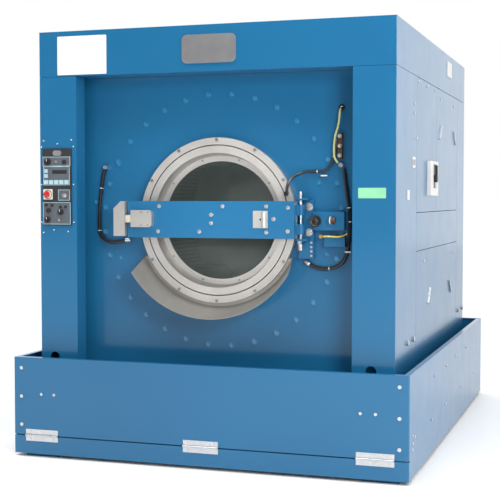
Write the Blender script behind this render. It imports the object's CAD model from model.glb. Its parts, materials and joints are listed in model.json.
# %% [markdown]
# # A tilting washer-extractor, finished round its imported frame
# The CAD model already holds every part that moves, fastens or carries load. This lesson loads it,
# gives each part its real finish, and adds the small pieces that make the machine look built. The
# CAD meshes stay as they are: each one gets a finished copy, which stands in its place.

# %% Load the frame
import json
import math

import bpy
from mathutils import Matrix, Vector

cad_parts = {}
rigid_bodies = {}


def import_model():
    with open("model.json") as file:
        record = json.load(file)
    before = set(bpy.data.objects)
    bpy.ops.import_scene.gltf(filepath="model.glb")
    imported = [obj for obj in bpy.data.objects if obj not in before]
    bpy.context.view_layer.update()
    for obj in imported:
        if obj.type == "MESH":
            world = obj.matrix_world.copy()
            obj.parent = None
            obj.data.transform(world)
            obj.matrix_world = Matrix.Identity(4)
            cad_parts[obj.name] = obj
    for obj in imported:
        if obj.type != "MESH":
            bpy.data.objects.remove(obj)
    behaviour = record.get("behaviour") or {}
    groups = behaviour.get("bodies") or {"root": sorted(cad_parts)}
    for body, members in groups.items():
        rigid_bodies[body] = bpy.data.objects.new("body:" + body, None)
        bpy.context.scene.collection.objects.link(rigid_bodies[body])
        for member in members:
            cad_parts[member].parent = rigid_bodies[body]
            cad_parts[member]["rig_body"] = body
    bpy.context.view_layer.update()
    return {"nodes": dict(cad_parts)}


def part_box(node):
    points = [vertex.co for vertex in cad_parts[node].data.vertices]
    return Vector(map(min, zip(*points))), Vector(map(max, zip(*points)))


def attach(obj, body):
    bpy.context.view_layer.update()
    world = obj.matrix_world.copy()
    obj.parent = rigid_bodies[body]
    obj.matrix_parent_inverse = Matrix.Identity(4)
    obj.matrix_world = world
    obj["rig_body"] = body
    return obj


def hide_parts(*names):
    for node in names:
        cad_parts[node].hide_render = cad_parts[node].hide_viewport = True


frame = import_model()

cad_nodes = frame["nodes"]

# %% [markdown]
# ## Driving dimensions
# Details that are placed by a number typed twice drift apart as soon as the model changes. So the
# main faces are read here, once, from the boxes of the nodes that carry them: the drum's axis is the
# middle of the door ring, and the depth of every small part follows from the face that it sits on.

# %% Places read from the frame
MM = 0.001
AXIS_Z = (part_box("door_ring")[0].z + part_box("door_ring")[1].z) / 2
RING_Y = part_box("door_ring")[0].y
PLATE_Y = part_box("shell_front_plate")[0].y
POST_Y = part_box("left_post")[0].y
SKIRT_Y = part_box("skirt_front")[0].y
SIDE_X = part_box("right_post")[1].x
PANEL_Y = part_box("control_panel")[0].y
print("axis height", round(AXIS_Z, 3), "front plate at", round(PLATE_Y, 3))

# %% [markdown]
# ## Camera
# The machine is looked at from a little to the right of the middle, at eye height. A short lens close
# by would make its upright edges lean, so the camera stands well back and has a long lens, which
# keeps them nearly parallel.

# %% Camera
EYE = (2.3036, -7.6448, 1.5538)
LOOK_DOWN = 0.0453  # radians below the horizon
LOOK_LEFT = 0.3187  # radians to the left of straight ahead
camera = bpy.data.objects.new("camera", bpy.data.cameras.new("camera"))
bpy.context.scene.collection.objects.link(camera)
camera.location = EYE
camera.rotation_euler = (math.pi / 2 - LOOK_DOWN, 0, LOOK_LEFT)
camera.data.lens = 82.59
camera.data.sensor_width = 36
bpy.context.scene.camera = camera
print("camera", round(Vector(EYE).length, 2), "m from the origin")

# %% [markdown]
# ## Floor
# Without a floor there is no shadow, and a machine of seven tonnes seems to float. Its paint is
# the simplest case of the one function that starts every material here.

# %% Floor
def grey(value):
    """A neutral colour."""
    return (value, value, value)


def material(name, color, roughness, metallic=0.0, **sockets):
    """A principled material; returns it with its node tree's nodes, links and shader."""
    made = bpy.data.materials.new(name)
    made.use_nodes = True
    shader = made.node_tree.nodes["Principled BSDF"]
    shader.inputs["Base Color"].default_value = (*color, 1)
    shader.inputs["Roughness"].default_value = roughness
    shader.inputs["Metallic"].default_value = metallic
    for socket, value in sockets.items():
        shader.inputs[socket.replace("_", " ")].default_value = value
    return made, made.node_tree.nodes, made.node_tree.links, shader


bpy.ops.object.select_all(action="DESELECT")
bpy.ops.mesh.primitive_plane_add(size=60, location=(0, 0, 0))
floor = bpy.context.object
floor.name = "floor"
floor.data.materials.append(material("floor_paint", grey(0.9), 0.6)[0])
print("floor", tuple(round(side) for side in floor.dimensions[:2]), "m")

# %% [markdown]
# ## Surround
# Glossy paint shows what stands round it more than its own colour. The front of the machine mirrors
# the space behind the camera, and its side, seen at a grazing angle, mirrors the wall behind the
# machine. Large white boards could do this, but a world whose brightness changes smoothly with the
# direction looked in has no edges to mirror. It is dark behind the camera, so the front keeps its
# deep blue, and bright at the sides, behind the machine and overhead, so the side turns pale. The
# camera itself sees plain white.

# %% Surround
world = bpy.data.worlds.new("studio")
bpy.context.scene.world = world
world.use_nodes = True
sky_nodes = world.node_tree.nodes
sky_links = world.node_tree.links
direction = sky_nodes.new("ShaderNodeTexCoord")
split = sky_nodes.new("ShaderNodeSeparateXYZ")
sky_links.new(direction.outputs["Generated"], split.inputs[0])


def fade(axis, start, end, low, high):
    """A smooth change of brightness along one axis of the direction looked in."""
    made = sky_nodes.new("ShaderNodeMapRange")
    made.interpolation_type = "SMOOTHSTEP"
    for socket, value in zip(["From Min", "From Max", "To Min", "To Max"], [start, end, low, high]):
        made.inputs[socket].default_value = value
    sky_links.new(split.outputs[axis], made.inputs["Value"])
    return made.outputs[0]


def added(first, second):
    """The sum of two brightnesses."""
    made = sky_nodes.new("ShaderNodeMath")
    sky_links.new(first, made.inputs[0])
    sky_links.new(second, made.inputs[1])
    return made.outputs[0]


around = added(fade("Y", -0.95, -0.3, 0.05, 0.92), fade("Y", 0.3, 0.95, 0.0, 0.38))
total = added(around, fade("Z", 0.4, 0.95, 0.0, 0.5))
seen = sky_nodes.new("ShaderNodeLightPath")
pick = sky_nodes.new("ShaderNodeMix")
sky_links.new(seen.outputs["Is Camera Ray"], pick.inputs["Factor"])
sky_links.new(total, pick.inputs["A"])
pick.inputs["B"].default_value = 1.0
sky_links.new(pick.outputs["Result"], sky_nodes["Background"].inputs["Strength"])
sky_nodes["Background"].inputs["Color"].default_value = (1, 1, 1, 1)
print("surround made of", len(sky_nodes), "nodes")

# %% [markdown]
# ## Lamps
# The surround alone gives a flat light. A square softbox high on the right models the sheet metal, a
# long one overhead lifts the floor in front of the skirt, and a narrow spot shines through the door
# glass, because the inside of a closed drum gets almost nothing from outside.

# %% Lamps
def aimed(obj, place, aim):
    """Puts a lamp at place and turns it towards aim."""
    bpy.context.scene.collection.objects.link(obj)
    obj.location = place
    obj.rotation_euler = (Vector(aim) - Vector(place)).to_track_quat("-Z", "Y").to_euler()


def softbox(name, place, aim, size, watts):
    """A rectangular studio softbox."""
    lamp = bpy.data.lights.new(name, "AREA")
    lamp.shape = "RECTANGLE"
    lamp.size, lamp.size_y = size
    lamp.energy = watts
    aimed(bpy.data.objects.new(name, lamp), place, aim)


softbox("key_right", (4.6, -6.2, 3.2), (0.3, -1.4, 1.0), (2.4, 2.4), 280)
softbox("floor_light", (-0.5, -3.6, 7.0), (-0.5, -3.8, -1), (6.0, 2.0), 260)
door_lamp = bpy.data.lights.new("door_lamp", "SPOT")
door_lamp.energy = 560
door_lamp.spot_size = math.radians(7.5)
door_lamp.spot_blend = 0.3
door_lamp.shadow_soft_size = 0.35
aimed(bpy.data.objects.new("door_lamp", door_lamp), (0.7, -8.2, 2.1), (0, -1.2, AXIS_Z))
bpy.context.scene.view_settings.view_transform = "Standard"
print("lamps", [lamp.name for lamp in bpy.data.lights])

# %% [markdown]
# ## Finishes
# Paint, steel and rubber all have a base colour that varies slowly, a gloss that varies in patches,
# and a fine texture. These could be painted on as pictures, but a picture has to be laid on each
# part. Noise in Object coordinates, which are metres on the machine, fits every part at its true
# size. The next helpers add that noise, a ramp that turns it into colours, and the bumps.

# %% Noise, ramps and bumps
def noise(nodes, links, scale, detail=3, stretch=(1, 1, 1)):
    """Noise in Object coordinates, scale in cells per metre, stretched along an axis where wanted."""
    place = nodes.new("ShaderNodeTexCoord")
    mapping = nodes.new("ShaderNodeMapping")
    mapping.inputs["Scale"].default_value = stretch
    texture = nodes.new("ShaderNodeTexNoise")
    texture.inputs["Scale"].default_value = scale
    texture.inputs["Detail"].default_value = detail
    links.new(place.outputs["Object"], mapping.inputs["Vector"])
    links.new(mapping.outputs["Vector"], texture.inputs["Vector"])
    return texture.outputs["Fac"]


def ramp(nodes, links, source, stops):
    """Colour ramp from a list of (position, colour) stops."""
    made = nodes.new("ShaderNodeValToRGB")
    while len(made.color_ramp.elements) < len(stops):
        made.color_ramp.elements.new(0.5)
    for element, (position, color) in zip(made.color_ramp.elements, stops):
        element.position = position
        element.color = (*color, 1)
    links.new(source, made.inputs["Fac"])
    return made.outputs["Color"]


def shade(color, factor):
    """A colour made darker or paler."""
    return tuple(part * factor for part in color)


def bumps(nodes, links, shader, layers):
    """Bump from a list of (height source, distance in metres, strength), each on the one before."""
    last = None
    for source, distance, strength in layers:
        bump = nodes.new("ShaderNodeBump")
        bump.inputs["Distance"].default_value = distance
        bump.inputs["Strength"].default_value = strength
        links.new(source, bump.inputs["Height"])
        if last is not None:
            links.new(last, bump.inputs["Normal"])
        last = bump.outputs["Normal"]
    links.new(last, shader.inputs["Normal"])


print("noise is in cells per metre, bumps in metres")

# %% [markdown]
# ### Blue enamel
# Sprayed and baked enamel is a coloured layer under a clear gloss. It could be one layer, but then one
# roughness has to do for the soft colour and the sharp lacquer, so the shader's coat gives the clear
# layer. The sheet behind the paint waves slowly, orange peel a few millimetres across breaks up what
# it mirrors, and fine scuffs dull the gloss in patches. The frame inside has a duller coat, and the
# bolt heads, with paint drawn thin over their edges, a paler and glossier one.

# %% Blue enamel
def enamel(name, color, roughness, wave, gloss):
    """Enamel with a given waviness of the sheet and weight of its clear coat."""
    made, nodes, links, shader = material(name, color, roughness, Coat_Weight=gloss, Coat_Roughness=0.12)
    tints = [(0.3, shade(color, 0.96)), (0.7, shade(color, 1.04))]
    links.new(ramp(nodes, links, noise(nodes, links, 1.1, 2), tints), shader.inputs["Base Color"])
    shader.inputs["Specular IOR Level"].default_value = 0.3
    scuffs = [(0.35, grey(roughness - 0.02)), (0.75, grey(roughness + 0.03))]
    links.new(ramp(nodes, links, noise(nodes, links, 5, 6), scuffs), shader.inputs["Roughness"])
    sheet_waves = noise(nodes, links, 1.6, 1)
    orange_peel = noise(nodes, links, 420, 2)
    bumps(nodes, links, shader, [(sheet_waves, 0.01, wave), (orange_peel, 0.0002, 0.06)])
    return made


gloss_blue = enamel("blue_enamel", (0.010, 0.126, 0.272), 0.36, 0.003, 0.5)
bolt_blue = enamel("blue_bolt_paint", (0.03, 0.20, 0.38), 0.22, 0.0, 1.0)
frame_blue = enamel("blue_frame_paint", (0.010, 0.105, 0.235), 0.45, 0.01, 0.3)
print("enamels", gloss_blue.name, bolt_blue.name, frame_blue.name)

# %% [markdown]
# ### Perforated drum wall
# A drum is rolled from sheet with a few thousand small holes, which let the water through. Cutting
# them all would take more faces than the rest of the machine, and they show only as rows of dots
# behind the glass. So the finish works out, from the angle round the axis and the depth, where the
# nearest hole lies, and darkens the steel inside it. The rows then follow the curve of the wall.

# %% Perforated drum wall
DRUM_RADIUS = 0.66
HOLE_PITCH = 0.0275
HOLE_WIDTH = 0.009


def perforated(made, nodes, links, shader, color):
    """Adds rows of round holes to a steel: dark dots on the angle round the axis and the depth."""
    place = nodes.new("ShaderNodeTexCoord")
    parts = nodes.new("ShaderNodeSeparateXYZ")
    links.new(place.outputs["Object"], parts.inputs[0])

    def step(operation, first, second=0.0):
        """One sum on numbers or sockets."""
        node = nodes.new("ShaderNodeMath")
        node.operation = operation
        for socket, value in zip(node.inputs, [first, second]):
            if isinstance(value, float):
                socket.default_value = value
            else:
                links.new(value, socket)
        return node.outputs[0]

    turn = step("ARCTAN2", step("SUBTRACT", parts.outputs["Z"], AXIS_Z), parts.outputs["X"])
    across = step("FRACT", step("MULTIPLY", turn, DRUM_RADIUS / HOLE_PITCH))
    along = step("FRACT", step("MULTIPLY", parts.outputs["Y"], 1 / HOLE_PITCH))
    off = [step("POWER", step("SUBTRACT", value, 0.5), 2.0) for value in (across, along)]
    inside = step("LESS_THAN", step("ADD", off[0], off[1]), (HOLE_WIDTH / HOLE_PITCH / 2) ** 2)
    mix = nodes.new("ShaderNodeMix")
    mix.data_type = "RGBA"
    # sockets 6 and 7 are the two colours of a Mix node, and output 2 the mixed one
    links.new(inside, mix.inputs["Factor"])
    links.new(shader.inputs["Base Color"].links[0].from_socket, mix.inputs[6])
    mix.inputs[7].default_value = (*shade(color, 0.12), 1)
    links.new(mix.outputs[2], shader.inputs["Base Color"])
    return made


print("holes", round(2 * math.pi * DRUM_RADIUS / HOLE_PITCH), "to a row round the drum")

# %% [markdown]
# ### Steel
# Brushing leaves fine lines that spread a highlight across them. Where a surface is brushed straight,
# the noise is stretched along the lines, and a spun or plated one has an even grain. The stainless
# door rings are brighter than the chute below them, which hangs in their shadow, and the screws are
# zinc plated.

# %% Steel
def steel(name, color, roughness, grain, metallic=1.0, holes=False):
    """A brushed or spun metal, with its grain as stretches along the three axes."""
    made, nodes, links, shader = material(name, color, roughness, metallic)
    brushing = noise(nodes, links, 60, 3, grain)
    patches = noise(nodes, links, 6, 4)
    tints = [(0.3, shade(color, 0.86)), (0.75, color)]
    links.new(ramp(nodes, links, patches, tints), shader.inputs["Base Color"])
    gloss = [(0.3, grey(roughness - 0.06)), (0.7, grey(roughness + 0.08))]
    links.new(ramp(nodes, links, brushing, gloss), shader.inputs["Roughness"])
    bumps(nodes, links, shader, [(brushing, 0.0003, 0.2)])
    return perforated(made, nodes, links, shader, color) if holes else made


EVEN = (1, 1, 1)
spun_steel = steel("spun_stainless", (0.63, 0.61, 0.58), 0.5, EVEN, metallic=0.8)
brushed_steel = steel("brushed_stainless", (0.62, 0.605, 0.58), 0.42, (0.3, 1, 30), metallic=0.85)
dull_zinc = steel("dull_zinc", grey(0.34), 0.38, EVEN)
chute_steel = steel("chute_stainless", (0.40, 0.385, 0.36), 0.5, (20, 1, 0.5), metallic=0.8)
zinc = steel("zinc_plate", (0.70, 0.71, 0.73), 0.3, EVEN)
rib_steel = steel("rib_stainless", (0.46, 0.47, 0.45), 0.38, (1, 20, 1), metallic=0.8)
drum_steel = steel("drum_stainless", (0.40, 0.42, 0.40), 0.4, (1, 20, 1), metallic=0.8, holes=True)
print("metals", [made.name for made in bpy.data.materials if "stainless" in made.name])

# %% [markdown]
# ### Castings, rubber and plastics
# Cast iron is rough and matt, rubber has a soft sheen, and moulded plastic a fine even grain. They
# differ only in colour, gloss and the size of that grain, so one function makes them all, and a
# colour can be read down the list and compared with its neighbours.

# %% Castings, rubber and plastics
def grained(name, color, roughness, size, strength, metallic=0.0, **sockets):
    """A matt or moulded surface with grains of a size in metres."""
    made, nodes, links, shader = material(name, color, roughness, metallic, **sockets)
    grain = noise(nodes, links, 1 / size, 3)
    patches = noise(nodes, links, 7, 4)
    tints = [(0.3, shade(color, 0.8)), (0.7, color)]
    links.new(ramp(nodes, links, patches, tints), shader.inputs["Base Color"])
    gloss = [(0.3, grey(roughness - 0.07)), (0.7, grey(roughness + 0.07))]
    links.new(ramp(nodes, links, grain, gloss), shader.inputs["Roughness"])
    bumps(nodes, links, shader, [(grain, size / 3, strength)])
    return made


casting = grained("grey_casting", (0.13, 0.14, 0.15), 0.6, 0.003, 0.4, 0.3)
rubber = grained("black_rubber", (0.016, 0.016, 0.018), 0.42, 0.002, 0.15)
cable_jacket = grained("cable_jacket", (0.012, 0.012, 0.014), 0.3, 0.003, 0.1)
black_plastic = grained("black_plastic", (0.02, 0.02, 0.023), 0.4, 0.001, 0.2)
panel_black = grained("panel_face", (0.028, 0.028, 0.034), 0.45, 0.0015, 0.15)
white_plastic = grained("white_plastic", (0.72, 0.71, 0.68), 0.4, 0.001, 0.15)
ivory = grained("ivory_plastic", (0.62, 0.57, 0.44), 0.4, 0.001, 0.15)
red_plastic = grained("red_plastic", (0.55, 0.015, 0.015), 0.25, 0.001, 0.08, Coat_Weight=0.5)
spring_black = grained("spring_coating", (0.03, 0.03, 0.032), 0.45, 0.002, 0.2)
plate_silver = grained("anodised_plate", (0.62, 0.62, 0.64), 0.35, 0.001, 0.15, 0.9)
white_label = grained("white_label", (0.82, 0.82, 0.80), 0.5, 0.004, 0.05)
cream_plastic = grained("cream_plate", (0.80, 0.74, 0.60), 0.45, 0.002, 0.1)
green_label = grained("green_label", (0.25, 0.62, 0.36), 0.45, 0.004, 0.05)
pale_key = grained("pale_key", (0.42, 0.62, 0.70), 0.4, 0.002, 0.1)
grey_field = grained("grey_panel_field", (0.10, 0.115, 0.135), 0.5, 0.0015, 0.15)
earth_jacket = grained("earth_jacket", (0.52, 0.55, 0.22), 0.4, 0.004, 0.1)
yellow_tube = grained("yellow_tube", (0.75, 0.58, 0.08), 0.35, 0.003, 0.05)
brass = grained("brass", (0.72, 0.55, 0.22), 0.3, 0.003, 0.1, 1.0)
brown_block = grained("brown_phenolic", (0.09, 0.04, 0.02), 0.4, 0.002, 0.15)
print("materials so far", len(bpy.data.materials))

# %% [markdown]
# ### Door glass
# The door glass is clear and slightly smeared. A transmission shader would bend the light, and the
# lamps would hardly reach the drum through it. A low alpha lets them shine straight in, with a faint
# tint, and the coat keeps a clean reflection on the face.

# %% Door glass
CLEAR = grey(0.03)
SMEARED = grey(0.14)
glass, glass_nodes, glass_links, glass_shader = material("door_glass", (0.10, 0.13, 0.12), 0.04,
    Alpha=0.2, Specular_IOR_Level=0.9, Coat_Weight=1.0, Coat_Roughness=0.02)
smears = noise(glass_nodes, glass_links, 12, 6, (1, 1, 0.6))
smeared = ramp(glass_nodes, glass_links, smears, [(0.45, CLEAR), (0.8, SMEARED)])
glass_links.new(smeared, glass_shader.inputs["Roughness"])
print("glass lets through", round(1 - glass_shader.inputs["Alpha"].default_value, 2))

# %% [markdown]
# ## Finishing the CAD parts
# A sheet-metal edge is never knife sharp: the bend or the deburred cut has a small radius, and it is
# the thin highlight along it that makes a box look like metal. A CAD mesh is loose triangles, which a
# bevel would spoil, so the copy is merged first and its flat faces are joined. Joining can lay a face
# over the hole of a ring. The area of the mesh then grows, and such a part keeps its triangles.

# %% Copies with softened edges
HARD_EDGE = math.radians(35)
SMOOTH_BELOW = math.radians(32)
FLAT_WITHIN = math.radians(0.6)


def only(obj):
    """Makes obj the one selected, active object."""
    bpy.ops.object.select_all(action="DESELECT")
    obj.select_set(True)
    bpy.context.view_layer.objects.active = obj


def rounded(piece, width, segments=2):
    """Bevels the hard edges of the active piece."""
    edges = piece.modifiers.new("edges", "BEVEL")
    edges.width = width
    edges.segments = segments
    edges.limit_method = "ANGLE"
    edges.angle_limit = HARD_EDGE
    bpy.ops.object.modifier_apply(modifier=edges.name)


def area(mesh):
    """The area of a mesh, taken over its triangles."""
    mesh.calc_loop_triangles()
    return sum(triangle.area for triangle in mesh.loop_triangles)


def softened(piece, source, width, join_flats):
    """Fills a piece with a copy of a CAD mesh, merged and bevelled."""
    piece.data = mesh = source.copy()
    only(piece)
    bpy.ops.object.mode_set(mode="EDIT")
    bpy.ops.mesh.select_all(action="SELECT")
    bpy.ops.mesh.remove_doubles(threshold=1e-5)
    if join_flats:
        bpy.ops.mesh.dissolve_limited(angle_limit=FLAT_WITHIN)
    bpy.ops.object.mode_set(mode="OBJECT")
    if mesh.has_custom_normals:
        bpy.ops.mesh.customdata_custom_splitnormals_clear()
    if width:
        rounded(piece, width)


print("edges sharper than", round(math.degrees(HARD_EDGE)), "degrees get a radius")

# %% [markdown]
# A bevelled sheet shades like a pillow when every corner is averaged, so its normals are weighted by
# area, which keeps the wide faces flat.

# %% A finished copy of a node
HOLE_COVERED = 1.01  # past this growth of its area, a mesh has had a hole covered


def finished(node, paint, width=0.0, join_flats=True, *, slot):
    """A copy of a CAD node with merged, bevelled and smoothed mesh, in its finish."""
    source = cad_nodes[node].data
    piece = bpy.data.objects.new(node + "_finish", source)
    bpy.context.scene.collection.objects.link(piece)
    softened(piece, source, width, join_flats)
    if join_flats and area(piece.data) > HOLE_COVERED * area(source):
        softened(piece, source, width, False)
        print("kept the triangles of", node)
    piece.data.materials.clear()
    piece.data.materials.append(paint)
    bpy.ops.object.shade_smooth_by_angle(angle=SMOOTH_BELOW)
    flat = piece.modifiers.new("flat", "WEIGHTED_NORMAL")
    flat.keep_sharp = True
    bpy.ops.object.modifier_apply(modifier=flat.name)
    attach(piece, cad_nodes[node]["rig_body"])
    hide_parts(node)
    return piece


FAR = 9.0  # a bound that is past everything
ALL = (-FAR, FAR)


def repaint(piece, paint, x=ALL, y=ALL, z=ALL):
    """Gives the faces whose middle lies between bounds, in metres, another finish."""
    piece.data.materials.append(paint)
    slot_number = len(piece.data.materials) - 1
    count = 0
    for face in piece.data.polygons:
        if all(low <= place <= high for place, (low, high) in zip(face.center, (x, y, z))):
            face.material_index = slot_number
            count += 1
    print(piece.name, count, "faces in", paint.name)


print("a bound that is left out reaches", FAR, "m either way")

# %% [markdown]
# ### Sheet metal and frame
# Folded covers have a radius of about a millimetre, and the welded frame inside a larger one. Some
# nodes hold pieces with two finishes: the plated pulls stand off the side covers, and the moving
# hinge leaves stand forward of the toe flap. They could be cut off as pieces of their own, but it is
# enough to tell them apart by where their faces lie, and to repaint those.

# %% Sheet metal and frame
SHEET_BEVEL = 1.2 * MM
OTHER_BEVELS = {"toe_flap": 0, "shell_front_plate": 1 * MM, "door_bar": 1 * MM}
for node in ["skirt_front", "skirt_sides", "toe_flap", "left_post", "right_post", "header", "side_panels",
        "rear_panels", "roof_panel", "shell_front_plate", "hinge_plate", "door_bar"]:
    finished(node, gloss_blue, OTHER_BEVELS.get(node, SHEET_BEVEL), slot="gloss_blue")
for node in ["floor_frame", "tilt_frame", "housing_frame", "shell_cradle", "shell_tub", "shell_back",
        "bearing_housing"]:
    finished(node, frame_blue, 1.5 * MM, slot="frame_blue")

side_covers = bpy.data.objects["side_panels_finish"]
repaint(side_covers, zinc, x=(SIDE_X + 0.5 * MM, FAR))
repaint(side_covers, zinc, x=(-FAR, -SIDE_X - 0.5 * MM))
repaint(bpy.data.objects["toe_flap_finish"], zinc, y=(-FAR, SKIRT_Y - 0.2 * MM))

# %% [markdown]
# ### Steel, castings and rubber
# The door's rings, the drum and the latch are bare steel, the hinges and screws are plated, and the
# drive behind the drum is cast. Joining the flat faces helps all of these, but not a wound spring,
# whose wire has no flat face, so the springs and later the leads keep their triangles.

# %% Steel, castings and rubber
STAINLESS = {
    "door_land_ring": spun_steel, "door_ring": spun_steel, "glass_ring": spun_steel,
    "loading_chute": chute_steel, "latch_keeper": brushed_steel, "latch_box": brushed_steel,
    "basket": drum_steel, "lifting_ribs": rib_steel,
}
for node, paint in STAINLESS.items():
    finished(node, paint, 0.8 * MM, slot="stainless")
for node in ["cover_screws", "flap_hinges", "bar_bolts", "hinge_rod", "pipe_stubs"]:
    finished(node, zinc, 0.4 * MM, slot="zinc")
finished("shell_bolts", bolt_blue, 1.5 * MM, slot="gloss_blue")
for node in ["pivot_blocks", "motor_body", "drum_shaft", "driven_pulley", "motor_rotor"]:
    finished(node, casting, 0.8 * MM, slot="cast_grey")
for node in ["air_bags", "rest_pads", "door_gasket", "drive_belts"]:
    finished(node, rubber, 0.8 * MM, slot="rubber_black")
finished("suspension_springs", spring_black, slot="spring_steel", join_flats=False)

# %% [markdown]
# ### Bumper, leads and terminals
# Beside the door's hinge sit a rubber bumper on a moulded block, a brass air fitting, a terminal
# block and the leads. Each group is one node, and its pieces lie apart, so a box round each is enough
# to give the block, the fitting, the earth wire, the air tube and the clips their own colours.

# %% Bumper, leads and terminals
bumper = finished("door_bumper", rubber, 0.8 * MM, slot="rubber_black")
# the block has a white flange on a brown body, with the fitting and a plated screw row below it
repaint(bumper, white_plastic, x=(0.689, 0.6965), z=(1.36, FAR))
repaint(bumper, brown_block, x=(0.6965, FAR), z=(1.36, FAR))
repaint(bumper, brass, x=(0.60, FAR), z=(1.31, 1.36))
repaint(bumper, zinc, x=(-FAR, 0.59), z=(-FAR, 1.31))

right_lead = finished("right_cable", cable_jacket, slot="rubber_black", join_flats=False)
repaint(right_lead, earth_jacket, x=(0.69, FAR), y=(-FAR, PLATE_Y - 23 * MM), z=(1.745, FAR))
repaint(right_lead, yellow_tube, x=(0.688, 0.779), z=(1.325, 1.366))
for across, up in [((0.62, 0.66), (1.677, 1.687)), ((0.762, 0.802), (1.240, 1.250))]:
    repaint(right_lead, white_plastic, x=across, z=up)
left_lead = finished("left_cable", cable_jacket, slot="rubber_black", join_flats=False)
repaint(left_lead, zinc, x=(-0.6056, FAR))

terminals = finished("terminal_block", brown_block, 1.0 * MM, slot="plastic_white")
repaint(terminals, ivory, x=(0.72, 0.75), y=(-FAR, PLATE_Y - 24.5 * MM), z=(1.77, FAR))
repaint(terminals, zinc, z=(-FAR, 1.758))

# %% [markdown]
# ### Controls, plates and glass
# Knobs and buttons are moulded black, with one red stop button, and the isolator box is white. The
# plates carry no lettering: the notice high on the header stays a white field, and the small label
# on the right post a green one.

# %% Controls, plates and glass
for node in ["black_button", "start_button", "cycle_knob", "speed_selector", "mode_selector"]:
    finished(node, black_plastic, 0.5 * MM, slot="panel_black")
finished("disconnect_handle", black_plastic, 1.0 * MM, slot="panel_black")
isolator = finished("disconnect_box", white_plastic, 1.0 * MM, slot="plastic_white")
finished("latch_bolt", ivory, 0.8 * MM, slot="plastic_white")
finished("key_switch", plate_silver, 0.4 * MM, slot="plate_silver")
finished("emergency_stop", red_plastic, 1.0 * MM, slot="stop_red")
finished("door_glass", glass, slot="glass")
plates = finished("nameplates", plate_silver, 0.8 * MM, slot="plate_silver")
repaint(plates, white_label, x=(-FAR, -0.3), z=(2.0, FAR))
repaint(plates, green_label, x=(0.3, FAR), z=(-FAR, 2.0))

# %% [markdown]
# ## Small parts
# Screws, keys, frames and ties are what the eye reads as scale. They are too many and too small for
# the CAD model, so each is modelled here once from a primitive, given its recess or dish in edit
# mode, bevelled, and copied where it repeats. The first helpers place a part, pick its faces, ease
# its edges, and settle it on the body that it moves with.

# %% Placing and finishing a small part
PLATE_DEPTH = 334  # the shell's front plate, in millimetres back from the skirt


def at(x, depth, z):
    """A place in millimetres: across, back from the front of the skirt, and up."""
    return Vector((x * MM, SKIRT_Y + depth * MM, z * MM))


def pick_faces(piece, test):
    """Enters edit mode with just the faces that pass the test selected."""
    only(piece)
    bpy.ops.object.mode_set(mode="EDIT")
    bpy.ops.mesh.select_mode(type="FACE")
    bpy.ops.mesh.select_all(action="DESELECT")
    bpy.ops.object.mode_set(mode="OBJECT")
    for face in piece.data.polygons:
        face.select = test(face)
    bpy.ops.object.mode_set(mode="EDIT")


def faces_front(face):
    """Whether a face looks to the front."""
    return face.normal.y < -0.9


def eased(piece, width, segments=2):
    """Bevels the hard edges and smooths the rest."""
    only(piece)
    rounded(piece, width, segments)
    bpy.ops.object.shade_smooth_by_angle(angle=SMOOTH_BELOW)


def settled(piece, name, paint, like):
    """Names a small part, gives it its finish, and lets it ride with the body of a CAD node."""
    piece.name = name
    piece.data.materials.clear()
    piece.data.materials.append(paint)
    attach(piece, cad_nodes[like]["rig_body"])
    print(name, len(piece.data.polygons), "faces")


def joined(pieces):
    """Joins pieces into the first of them."""
    only(pieces[0])
    for piece in pieces:
        piece.select_set(True)
    bpy.ops.object.join()
    return bpy.context.object


print("the skirt's front foot is at", tuple(round(value, 3) for value in at(0, 0, 0)))

# %% [markdown]
# ### Panel fields and outlines
# The control panel is a dark plate with four groups of controls, each on a raised grey field inside a
# pale printed line. A line could be part of the material, but it would blur at a distance, so it is a
# thin frame: a plane is inset, its middle is deleted, and the rim that is left gets a thickness.

# %% Panel fields and outlines
def frame_of(x, z, y, rim, thick):
    """A flat rectangular frame between bounds in millimetres, facing forwards at y in metres."""
    bpy.ops.object.select_all(action="DESELECT")
    bpy.ops.mesh.primitive_plane_add(size=1, location=(sum(x) / 2 * MM, y, sum(z) / 2 * MM),
        rotation=(math.pi / 2, 0, 0))
    piece = bpy.context.object
    piece.scale = ((x[1] - x[0]) * MM, (z[1] - z[0]) * MM, 1)
    bpy.ops.object.transform_apply(location=True, rotation=True, scale=True)
    bpy.ops.object.mode_set(mode="EDIT")
    bpy.ops.mesh.select_mode(type="FACE")
    bpy.ops.mesh.select_all(action="SELECT")
    bpy.ops.mesh.inset(thickness=rim)
    bpy.ops.mesh.delete(type="FACE")
    bpy.ops.object.mode_set(mode="OBJECT")
    depth = piece.modifiers.new("depth", "SOLIDIFY")
    depth.thickness = thick
    depth.offset = -1
    bpy.ops.object.modifier_apply(modifier=depth.name)
    eased(piece, rim * 0.2, 1)
    return piece


BEZEL_Y = PANEL_Y + 8 * MM
FIELD_FRONT = (-FAR, BEZEL_Y - 1 * MM)
LAMP_FRONT = (-FAR, BEZEL_Y - 3.5 * MM)
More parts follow.
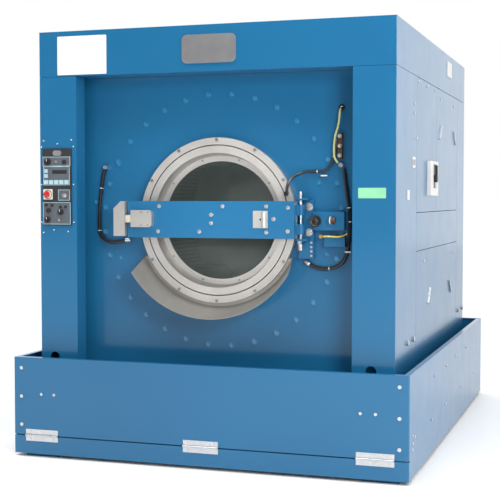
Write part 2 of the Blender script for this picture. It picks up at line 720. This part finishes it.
# each group: its bounds across and up, and how far its field rises, in millimetres
GROUPS = [((-1068, -884), (1745, 1802), 2), ((-1064, -888), (1631, 1744), 3),
    ((-966, -888), (1539, 1604), 2), ((-1068, -884), (1395, 1528), 2)]
panel = finished("control_panel", panel_black, 0.4 * MM, slot="panel_black")
frames = []
for x, z, rise in GROUPS:
    repaint(panel, grey_field, (x[0] * MM, x[1] * MM), FIELD_FRONT, (z[0] * MM, z[1] * MM))
    frames.append(frame_of(x, z, BEZEL_Y - (rise + 1) * MM, 3 * MM, 1.2 * MM))
repaint(panel, cream_plastic, (-1.0665, -1.0035), FIELD_FRONT, (1.5445, 1.6075))
repaint(panel, plate_silver, (-1.001, -0.943), FIELD_FRONT, (1.807, 1.841))
repaint(panel, black_plastic, y=LAMP_FRONT, z=(1.49, 1.53))
repaint(panel, zinc, y=LAMP_FRONT, z=(1.40, 1.43))
repaint(panel, zinc, y=LAMP_FRONT, z=(1.76, 1.79))
settled(joined(frames), "panel_outlines", pale_key, "control_panel")

# %% [markdown]
# ### Soft keys and display
# Five keys stand in a row under a small dark display, and two more beside it. A soft key is a low
# cap with a dished face, which catches the light along its rim. So a block has its front face inset
# and sunk, and the same function makes the display, whose window lies behind a narrow rim.

# %% Soft keys and display
def cap(low, high, rim, dip, soft):
    """A block whose face to the front is sunk inside a rim, with softened edges."""
    low = Vector(low)
    high = Vector(high)
    bpy.ops.object.select_all(action="DESELECT")
    bpy.ops.mesh.primitive_cube_add(size=1, location=(low + high) / 2)
    piece = bpy.context.object
    piece.scale = high - low
    bpy.ops.object.transform_apply(location=True, rotation=True, scale=True)
    pick_faces(piece, faces_front)
    bpy.ops.mesh.inset(thickness=rim, depth=-dip)
    bpy.ops.object.mode_set(mode="OBJECT")
    eased(piece, soft)
    return piece


KEY_ROOT = BEZEL_Y - 2.8 * MM
KEY_FACE = BEZEL_Y - 4.6 * MM
KEY_STEP = 0.0342


def soft_key(left, right, low, high):
    """One key between bounds across and up, in metres."""
    return cap((left, KEY_FACE, low), (right, KEY_ROOT, high), 2 * MM, 0.5 * MM, 0.5 * MM)


keys = [soft_key(-1.060 + KEY_STEP * i, -1.031 + KEY_STEP * i, 1.637, 1.662) for i in range(5)]
keys += [soft_key(-1.058, -1.034, middle - 0.0115, middle + 0.0115) for middle in (1.687, 1.717)]
settled(joined(keys), "soft_keys", pale_key, "control_panel")
display = cap((-1.004, BEZEL_Y - 4.4 * MM, 1.700), (-0.908, KEY_ROOT, 1.722), 3 * MM, 0.7 * MM, 0.4 * MM)
settled(display, "display_window", black_plastic, "control_panel")

# %% [markdown]
# ### Stop collar
# A black ring closes the gap between the stop button and its cream plate. It is a torus laid round
# the button, smooth all over, and the same helper makes the grommet and the bands of the ties later.

# %% Stop collar
def hoop(place, turn, radius, thickness, around, across):
    """A smooth ring of round section; thickness is the radius of that section."""
    bpy.ops.object.select_all(action="DESELECT")
    bpy.ops.mesh.primitive_torus_add(major_radius=radius, minor_radius=thickness,
        major_segments=around, minor_segments=across, location=place, rotation=turn)
    bpy.ops.object.transform_apply(location=True, rotation=True, scale=True)
    bpy.ops.object.shade_smooth()
    return bpy.context.object


FACING_FRONT = (math.pi / 2, 0, 0)
collar = hoop((-1.035, BEZEL_Y - 2.5 * MM, 1.576), FACING_FRONT, 25.5 * MM, 1.6 * MM, 40, 8)
settled(collar, "stop_collar", black_plastic, "control_panel")

# %% [markdown]
# ### Panel screws
# Small socket screws hold the bezel and close the spare holes of the post round it. The head is a
# short cylinder whose front is inset to the width of the socket and then sunk. Twelve sides are
# enough at this size, and the bevel makes them read as round.

# %% Panel screws
def screw(radius, height):
    """A socket screw head at the origin, facing forwards."""
    bpy.ops.object.select_all(action="DESELECT")
    bpy.ops.mesh.primitive_cylinder_add(vertices=12, radius=radius, depth=height, rotation=FACING_FRONT)
    piece = bpy.context.object
    bpy.ops.object.transform_apply(location=True, rotation=True, scale=True)
    pick_faces(piece, faces_front)
    bpy.ops.mesh.inset(thickness=radius * 0.5)
    bpy.ops.mesh.inset(thickness=radius * 0.06, depth=-height * 0.5)
    bpy.ops.object.mode_set(mode="OBJECT")
    eased(piece, height * 0.25, 1)
    return piece


def repeated(master, places):
    """Copies of a small part at several places, joined into one piece."""
    pieces = []
    for place in places:
        piece = master.copy()
        piece.data = master.data.copy()
        bpy.context.scene.collection.objects.link(piece)
        piece.data.transform(Matrix.Translation(place))
        pieces.append(piece)
    bpy.data.objects.remove(master)
    return joined(pieces)


bezel_screws = [(x, z) for z in (1862, 1635, 1408) for x in (-1081, -867)]
spare_screws = [(-1067, 1900), (-974, 1880), (-880, 1903), (-1000, 1361), (-1070, 1345), (-905, 1352)]
HEAD_Y = POST_Y - 1.3 * MM
screw_places = [(x * MM, HEAD_Y, z * MM) for x, z in bezel_screws + spare_screws]
settled(repeated(screw(4.5 * MM, 3 * MM), screw_places), "panel_screws", zinc, "control_panel")

# %% [markdown]
# ### Dial pointers
# A pale line on a dark knob shows its setting. It has to turn with the knob, so it can't be printed on
# the panel: each line is its own low cap on the knob's face, and it rides on the knob's body.

# %% Dial pointers
POINTER_HALF = 1.6
for node, x, z, reach in [("cycle_knob", -1032, 1772, 18), ("speed_selector", -1035, 1423, 15),
        ("mode_selector", -947, 1469, 15)]:
    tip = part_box(node)[0].y
    line = cap(((x - POINTER_HALF) * MM, tip - 0.4 * MM, (z + 2) * MM),
        ((x + POINTER_HALF) * MM, tip + 0.3 * MM, (z + reach) * MM), 0.4 * MM, 0.1 * MM, 0.1 * MM)
    settled(line, node + "_line", white_plastic, node)

# %% [markdown]
# ### Ring screws and isolator
# The screw heads on the two door rings are the faces in front of the ring, so one bound on the depth
# picks them out. The isolator's front has a grey recess behind its lever, and a small label on the
# side of the housing has two dark marks, which stand for its symbols.

# %% Ring screws and isolator
GLASS_RING_FACE = at(0, 349.6, 0).y
repaint(bpy.data.objects["door_land_ring_finish"], dull_zinc, y=(-FAR, RING_Y - 0.4 * MM))
repaint(bpy.data.objects["glass_ring_finish"], dull_zinc, y=(-FAR, GLASS_RING_FACE))
repaint(isolator, grey_field, (SIDE_X + 10 * MM, SIDE_X + 18.5 * MM), (at(0, 1270, 0).y, at(0, 1391, 0).y),
    (1.618, 1.770))
marks = [cap((SIDE_X + 3.6 * MM, at(0, depth, 0).y, 1.748),
    (SIDE_X + 4.6 * MM, at(0, depth + 20, 0).y, 1.782), 1 * MM, 0.3 * MM, 0.2 * MM) for depth in (652, 688)]
settled(joined(marks), "label_marks", black_plastic, "disconnect_box")

# %% [markdown]
# ### Sleeve and ties
# The thick lead ends in a metal sleeve, and nylon ties hold the leads in their curve. The sleeve is a
# cylinder laid along the lead, with both ends inset and sunk to leave a rim. A tie is a band round
# the lead with its locking head in front, and each is turned along the lead where it sits.

# %% Sleeve and ties
LEAD_DEPTH = PLATE_DEPTH - 13
THICK_LEAD = 11 * MM
THIN_LEAD = 8 * MM


def along(route):
    """The turn that lays a part's own length along a direction."""
    return Vector(route).to_track_quat("Z", "Y").to_euler()


def tie(x, z, route, radius):
    """A nylon tie round a lead at a place in millimetres where it runs along a route."""
    place = at(x, LEAD_DEPTH, z)
    band = hoop(place, along(route), radius + 0.4 * MM, 1.4 * MM, 24, 8)
    head = cap(place + Vector((-4 * MM, -radius - 4 * MM, -3 * MM)),
        place + Vector((4 * MM, -radius + 1 * MM, 3 * MM)), 1.5 * MM, 0.8 * MM, 0.5 * MM)
    return joined([band, head])


bpy.ops.object.select_all(action="DESELECT")
bpy.ops.mesh.primitive_cylinder_add(vertices=24, radius=13.5 * MM, depth=36 * MM,
    location=at(541, LEAD_DEPTH, 1178), rotation=along((-22, 0, 13)))
sleeve = bpy.context.object
bpy.ops.object.transform_apply(location=True, rotation=True, scale=True)
pick_faces(sleeve, lambda face: len(face.vertices) > 10)
bpy.ops.mesh.inset(thickness=1.5 * MM)
bpy.ops.mesh.inset(thickness=0.5 * MM, depth=-2 * MM)
bpy.ops.object.mode_set(mode="OBJECT")
eased(sleeve, 1 * MM)
settled(sleeve, "lead_sleeve", zinc, "right_cable")

right_ties = [tie(788, 1498, (6, 0, -68), THICK_LEAD), tie(794, 1418, (0, 0, -1), THICK_LEAD),
    tie(672, 1148, (-1, 0, 0), THICK_LEAD), tie(698, 1790, (-12, 0, -44), THIN_LEAD),
    tie(600, 1706, (-1, 0, 0), THIN_LEAD)]
left_ties = [tie(-764, 1614, (-13, 0, -101), THICK_LEAD), tie(-778, 1355, (4, 0, -50), THICK_LEAD)]
settled(joined(right_ties), "right_ties", white_plastic, "right_cable")
settled(joined(left_ties), "left_ties", white_plastic, "left_cable")

# %% [markdown]
# ### Grommet and terminal screws
# A rubber grommet lines the hole that the earth wire comes through, so that the sheet doesn't cut its
# jacket. The three terminals are clamped by larger socket screws, down the front of their block.

# %% Grommet and terminal screws
grommet = hoop((0.739, PLATE_Y - 1.5 * MM, 2.07), FACING_FRONT, 14 * MM, 5 * MM, 32, 10)
settled(grommet, "wire_grommet", rubber, "right_cable")
TERMINAL_FACE = PLATE_DEPTH - 37.5
terminal_places = [at(735, TERMINAL_FACE, z) for z in (1796, 1851, 1906)]
settled(repeated(screw(8.5 * MM, 4 * MM), terminal_places), "terminal_screws", zinc, "terminal_block")

# %% [markdown]
# ### Door bumper and latch screws
# The bumper that the open door strikes is a moulded boss with a deep ring in its face. It is part of
# a node that is finished already, so the ring is cut in that copy: the round front face is inset four
# times, and two of the insets are sunk or raised. Four screws hold the latch box on the door's bar.

# %% Door bumper and latch screws
BOSS = at(600, 268, 1421)
for rim, sink in [(7 * MM, 0), (2 * MM, 3 * MM), (8 * MM, 0), (2 * MM, -2 * MM)]:
    pick_faces(bumper, lambda face: faces_front(face) and (face.center - BOSS).length < 6 * MM)
    bpy.ops.mesh.inset(thickness=rim, depth=-sink)
    bpy.ops.object.mode_set(mode="OBJECT")
BAR_DEPTH = 146
LATCH_THICK = 33
latch_places = [at(x, BAR_DEPTH - LATCH_THICK, z) for x in (-415, -372) for z in (1396, 1470)]
settled(repeated(screw(5 * MM, 3 * MM), latch_places), "latch_screws", dull_zinc, "latch_box")
